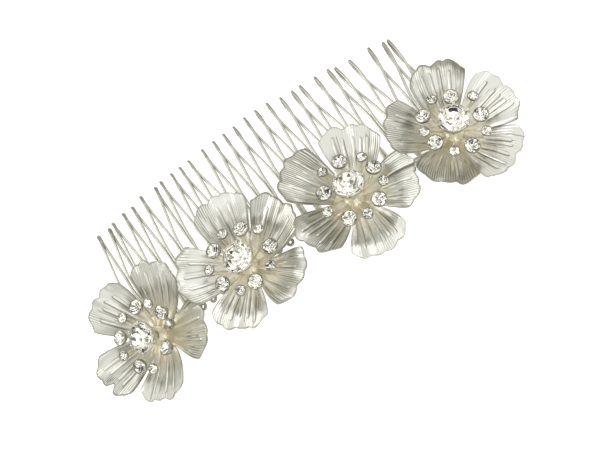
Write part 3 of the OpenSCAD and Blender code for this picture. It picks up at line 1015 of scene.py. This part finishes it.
# Rows of corners below the girdle: part of the radius, whether under a main facet, part of the depth
PAVILION_ROWS = [(0.74, True, 0.40), (0.45, False, 0.68), (0.20, True, 0.88)]
LARGE_PAVILION_ROWS = [(0.80, True, 0.32), (0.58, False, 0.57), (0.36, True, 0.77), (0.15, False, 0.93)]
FOLDS = 8
LARGE_FOLDS = 12
# Facets whose middle is nearer to the axis than this part of the diameter are inner ones
INNER_PART = 0.3


def cut_corners(d):
    """The corners of a round brilliant-cut stone with its table at z = 0."""
    r, crown, depth = d / 2, CROWN_PART * d, STONE_PART * d
    large = d > MEDIUM_STONE_D
    folds = LARGE_FOLDS if large else FOLDS
    corners = []
    for i in range(folds):
        main, half = (math.radians(360 / folds * (i + part)) for part in (0, 0.5))
        corners += [polar(TABLE_PART * r, main, 0.0), polar(STAR_PART * r, half, -STAR_DOWN * crown)]
        for angle in (main, half):
            corners += [polar(r, angle, -crown), polar(r, angle, -crown - GIRDLE_PART * d)]
        for part, on_main, down in LARGE_PAVILION_ROWS if large else PAVILION_ROWS:
            corners += [polar(part * r, main if on_main else half, -crown - down * (depth - crown))]
    return corners + [(0, 0, -depth)]


def brilliant(shape, d, place, chance, facets, least):
    """Adds one stone to the shape. facets gets each facet's tone and whether it is above the
    girdle, and least is the smallest tone near the middle of the stone."""
    cut = bmesh.new()
    for corner in cut_corners(d):
        cut.verts.new(corner)
    bmesh.ops.convex_hull(cut, input=cut.verts)
    bmesh.ops.dissolve_limit(cut, angle_limit=math.radians(1), verts=cut.verts, edges=cut.edges)
    cut.verts.index_update()
    faces = [[v.index for v in face.verts] for face in cut.faces]
    girdle_foot = -(CROWN_PART + GIRDLE_PART) * d
    for face in cut.faces:
        middle = face.calc_center_median()
        inner = math.hypot(middle.x, middle.y) < INNER_PART * d
        # each facet's painted reflection tone is drawn at random
        facets.append((chance.uniform(least if inner else 0.0, 1.0), middle.z > girdle_foot))
    shape.add([v.co[:] for v in cut.verts], faces, place)
    cut.free()


def stone_piece(k, name, node, d, places, place, seed, least=0.0):
    """A piece of one or more equal stones, with clear glass above the girdle and foil below it."""
    chance = random.Random(seed)
    shape, facets = Shape(), []
    for one in places:
        brilliant(shape, d, one, chance, facets, least)
    mesh = flower_piece(shape, k, name, CRYSTAL_GLASS, "crystal", node, place).data
    mesh.shade_flat()
    mesh.materials.append(CRYSTAL_FOIL)
    mesh.attributes.new("facet", "FLOAT", "FACE").data.foreach_set("value", [tone for tone, _ in facets])
    for face, (_, above) in zip(mesh.polygons, facets):
        face.material_index = 0 if above else 1


# ---- settings ----

def cup_outline(d, wall):
    """The wall of a stone's cup, thin at the top, where it turns in a little over the girdle."""
    crown, depth, edge = CROWN_PART * d, STONE_PART * d, d / 2
    low = -depth - wall
    outside = [(0.0, low), (0.3 * d, low), (0.33 * d, low + 0.1), (edge + 0.8 * wall, -crown - 0.1 * d)]
    lip = [(edge + 0.85 * wall, -crown - FIT_GAP), (edge + 0.6 * wall, -crown + 0.05 * d),
           (edge + FIT_GAP / 2, -crown + 0.055 * d)]
    inside = [(edge + FIT_GAP, -crown), (edge, -crown - 0.035 * d), (0.42 * d, -crown - 0.15 * d),
              (0.25 * d, -crown - 0.32 * d), (0.0, -depth - 0.3 * wall)]
    return outside + lip + inside


# A claw's path in parts of the stone's diameter: out from the axis, and up from the girdle
CLAW_PATH = [(0.34, -0.34), (0.47, -0.17), (0.545, -0.03), (0.53, 0.07), (0.455, 0.125)]
# Which way each flower's centre setting leans on its post, and by how much, in degrees
JEWEL_LEAN = [(170, 15), (194, 8), (77, 11), (138, 8)]
# The darkest painted reflection tone of each centre stone's inner facets
LEAST_TONE = [0.0, 0.12, 0.15, 0.2]
# How far each centre stone is turned in its setting, per flower
JEWEL_TURN = 11


def centre_jewel(k, place):
    """The claw setting on the post and the large stone in it."""
    way, lean = JEWEL_LEAN[k - 1]
    d = CENTER_STONE_D
    stone_h = d * STONE_PART + SETTING_WALL
    tilt = turned(way) @ Matrix.Rotation(math.radians(lean), 4, "Y") @ turned(-way)
    foot = Matrix.Translation((0, 0, CENTER_TOP - stone_h))
    at_top = foot @ tilt @ Matrix.Translation((0, 0, stone_h))
    claw = smooth_path([(out * d, 0, (up - CROWN_PART) * d) for out, up in CLAW_PATH])
    setting = Shape()
    setting.lathe(cup_outline(d, SETTING_WALL), at_top)
    for i in range(CLAW_COUNT):
        setting.tube(claw, CLAW_D, at_top @ turned(360 / CLAW_COUNT * i))
    flower_piece(setting, k, "claw_cup", CLAW_METAL, "setting_metal", "center_setting", place)
    stone_piece(k, "centre_crystal", "center_stone", d, [at_top @ turned(JEWEL_TURN * k)], place,
                SEED + 40 * k + 1, LEAST_TONE[k - 1])


# Directions of the medium and the small stones round each flower, in degrees
MEDIUM_TURNS = [(78, 19, 295, 220, 149), (133, 63, 349, 272, 205), (82, 13, 307, 240, 160),
                (70, 349, 274, 201, 141)]
SMALL_TURNS = [(51, 349, 248, 182, 112), (98, 29, 312, 242, 169), (118, 42, 341, 274, 200),
               (106, 29, 312, 240, 173)]
# Each kind of ring stone: its diameter, how far out it stands, and its directions
RING_KINDS = {"medium": (MEDIUM_STONE_D, 8.2, MEDIUM_TURNS), "small": (SMALL_STONE_D, 8.9, SMALL_TURNS)}
# Stones pushed in towards the centre, by flower and direction: millimetres in, degrees of nod
PUSHED_IN = {(1, 19): (-0.3, 36), (1, 295): (0.5, 40), (1, 349): (0.1, 50), (1, 51): (-0.4, 30),
             (4, 70): (0.6, 6), (4, 349): (0.7, 12), (3, 160): (0.8, 8)}
RING_NOD = 7
RING_SHIFT = 0.2


def arm_of(d, reach):
    """Bend radius, turn and rise of the arm that carries a stone of diameter d at that reach."""
    up = RING_TOP - STONE_PART * d - CUP_WALL - (HUB_Z + HUB_T / 2)
    run = reach - ARM_START
    bend = (run ** 2 + up ** 2) / (2 * up)
    return bend, math.asin(min(1, run / bend)), up


def ring_places(k, kind):
    """For each ring stone of one kind: its direction, its arm's reach and its nod, in degrees."""
    _, reach, turns = RING_KINDS[kind]
    chance = random.Random(SEED * k + len(kind))
    made = []
    for angle in turns[k - 1]:
        usual = (chance.uniform(-RING_SHIFT, RING_SHIFT), chance.uniform(-RING_NOD, RING_NOD))
        inward, nod = PUSHED_IN.get((k, angle), usual)
        made.append((angle, reach - inward, nod))
    return made


# The hub's outline as (radius, height above its foot): a rounded disc with a collar round the post
HUB_OUTLINE = [(BORE_R, 0), (HUB_R - 0.2, 0), (HUB_R, 0.25), (HUB_R - 0.1, 0.7),
               (HUB_R - 0.6, HUB_T - 0.05), (1.9, HUB_T + 0.3), (1.6, HUB_T + 1.0),
               (BORE_R, HUB_T + 1.3)]
ARM_POINTS = 14


def stamen_spray(k, place):
    """A domed hub on the petals with ten arms that curve up to the ring of stones."""
    spray = Shape()
    spray.lathe([(r, HUB_Z + z) for r, z in HUB_OUTLINE])
    width = ARM_D * (1.05 - 0.3 * np.sin(np.linspace(0, math.pi, ARM_POINTS)))
    for kind, (d, _, _) in RING_KINDS.items():
        for angle, reach, _ in ring_places(k, kind):
            bend, turn, _ = arm_of(d, reach)
            angles = np.linspace(0, turn, ARM_POINTS)
            path = np.stack([ARM_START + bend * np.sin(angles), 0 * angles,
                             HUB_Z + HUB_T / 2 + bend * (1 - np.cos(angles))], axis=1)
            spray.tube(path[:-1], width[:-1], turned(angle))
    flower_piece(spray, k, "stamen_spray", FITTING_METAL, "fitting_metal", "stamens", place)


def stone_ring(k, place):
    """The ring of medium and small stones in their bezels, each at the end of its arm."""
    for kind, (d, _, _) in RING_KINDS.items():
        top = Matrix.Translation((0, 0, STONE_PART * d + CUP_WALL + FIT_GAP))
        places = []
        for angle, reach, nod in ring_places(k, kind):
            _, turn, up = arm_of(d, reach)
            lean = Matrix.Rotation(math.pi / 2 - turn - math.radians(nod), 4, "Y")
            end = Matrix.Translation((reach, 0, HUB_Z + HUB_T / 2 + up))
            places.append(turned(angle) @ end @ lean @ top)
        cups = Shape()
        for one in places:
            cups.lathe(cup_outline(d, CUP_WALL), one)
        flower_piece(cups, k, f"{kind}_bezels", SETTING_METAL, "setting_metal", f"{kind}_cups", place)
        stone_piece(k, f"{kind}_crystals", f"{kind}_stones", d, places, place,
                    SEED + 100 * k + int(d * 10))


def flower(k):
    """All the pieces of flower k, and a metal for the saddle that is kept from the CAD."""
    place = flower_place(k)
    petal_sheet(k, place)
    backing_disc(k, place)
    rivet_post(k, place)
    stamen_spray(k, place)
    centre_jewel(k, place)
    stone_ring(k, place)
    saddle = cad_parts[f"flower_{k}_saddle"]
    saddle.data.materials.clear()
    saddle.data.materials.append(FITTING_METAL)


# ---- camera, floor and light ----

def camera():
    """Looks down on the comb from its flower side, rolled so that the comb runs up to the right."""
    side, lean, roll = map(math.radians, (VIEW_SIDE, VIEW_LEAN, VIEW_ROLL))
    back = Vector((math.sin(side), -math.sin(lean) * math.cos(side), math.cos(lean) * math.cos(side)))
    level = (-back).cross(Vector((0, 1, 0))).normalized()
    upright = level.cross(-back)
    right = math.cos(roll) * level - math.sin(roll) * upright
    up = math.sin(roll) * level + math.cos(roll) * upright
    spot = (back * VIEW_DISTANCE - right * VIEW_SHIFT[0] - up * VIEW_SHIFT[1]) * MM
    data = bpy.data.cameras.new("camera")
    data.lens = LENS_MM
    data.sensor_width = SENSOR_MM
    data.clip_start = CLIP_START_MM * MM
    made = bpy.data.objects.new("camera", data)
    bpy.context.scene.collection.objects.link(made)
    made.matrix_world = COMB @ axes_matrix(spot, right, up, back)
    bpy.context.scene.camera = made


FLOOR_SIZE = 6000
FLOOR_COLOURS = [(0.3, (0.93, 0.93, 0.93)), (0.7, (0.95, 0.95, 0.95))]
FLOOR_GLOW = 0.55


def floor():
    """A wide pale floor that the comb lies on, with a little glow of its own."""
    bpy.ops.mesh.primitive_plane_add(size=FLOOR_SIZE * MM, location=(0, 0, cad_low.z))
    made = bpy.context.object
    made.name = "floor"
    white = Nodes("pale_floor")
    white.set("Base Color", white.ramp(white.noise(40), FLOOR_COLOURS))
    white.set("Roughness", 0.9)
    white.set("Specular IOR Level", 0.1)
    white.set("Emission Color", (1, 1, 1, 1))
    white.set("Emission Strength", FLOOR_GLOW)
    made.data.materials.append(white.material)


def soft_light(name, spot, size, power):
    """A rectangular lamp that faces the comb from its spot. Spot and size are in metres."""
    data = bpy.data.lights.new(name, "AREA")
    data.shape = "RECTANGLE"
    data.size, data.size_y = size
    data.energy = power
    made = bpy.data.objects.new(name, data)
    bpy.context.scene.collection.objects.link(made)
    made.location = spot
    made.rotation_euler = (-Vector(spot)).to_track_quat("-Z", "Y").to_euler()
    made.visible_camera = False


# The studio tent's colours, from the horizon up to overhead
TENT = [(0.0, (0.48, 0.47, 0.43)), (0.3, (0.60, 0.59, 0.55)), (0.6, (0.68, 0.68, 0.64)),
        (1.0, (0.84, 0.84, 0.81))]
TENT_STRENGTH = 1.1


def room_light():
    """A studio tent: bright overhead, dim and warm towards the horizon."""
    world = bpy.data.worlds.new("studio")
    bpy.context.scene.world = world
    world.use_nodes = True
    nodes, links = world.node_tree.nodes, world.node_tree.links
    coords = nodes.new("ShaderNodeTexCoord")
    split = nodes.new("ShaderNodeSeparateXYZ")
    ramp = nodes.new("ShaderNodeValToRGB")
    links.new(coords.outputs["Generated"], split.inputs[0])
    links.new(split.outputs["Z"], ramp.inputs["Fac"])
    links.new(ramp.outputs["Color"], nodes["Background"].inputs["Color"])
    set_stops(ramp.color_ramp, TENT)
    nodes["Background"].inputs["Strength"].default_value = TENT_STRENGTH


def lights():
    room_light()
    soft_light("front", spot=(0.15, -0.75, 0.55), size=(0.7, 0.5), power=1.2)
    soft_light("right", spot=(0.7, 0.05, 0.5), size=(0.4, 0.5), power=0.5)
    soft_light("left", spot=(-0.7, 0.2, 0.45), size=(0.4, 0.5), power=1.3)
    soft_light("back", spot=(0.0, 0.8, 0.35), size=(0.9, 0.4), power=1.6)


comb_wire()
spine_wire("front_spine_wire", "spine_front", SPINE_H)
spine_wire("back_spine_wire", "spine_back", -SPINE_H)
end_bindings()
for number in range(1, len(FLOWERS) + 1):
    flower(number)
camera()
floor()
lights()
bpy.context.scene.view_settings.view_transform = "Standard"
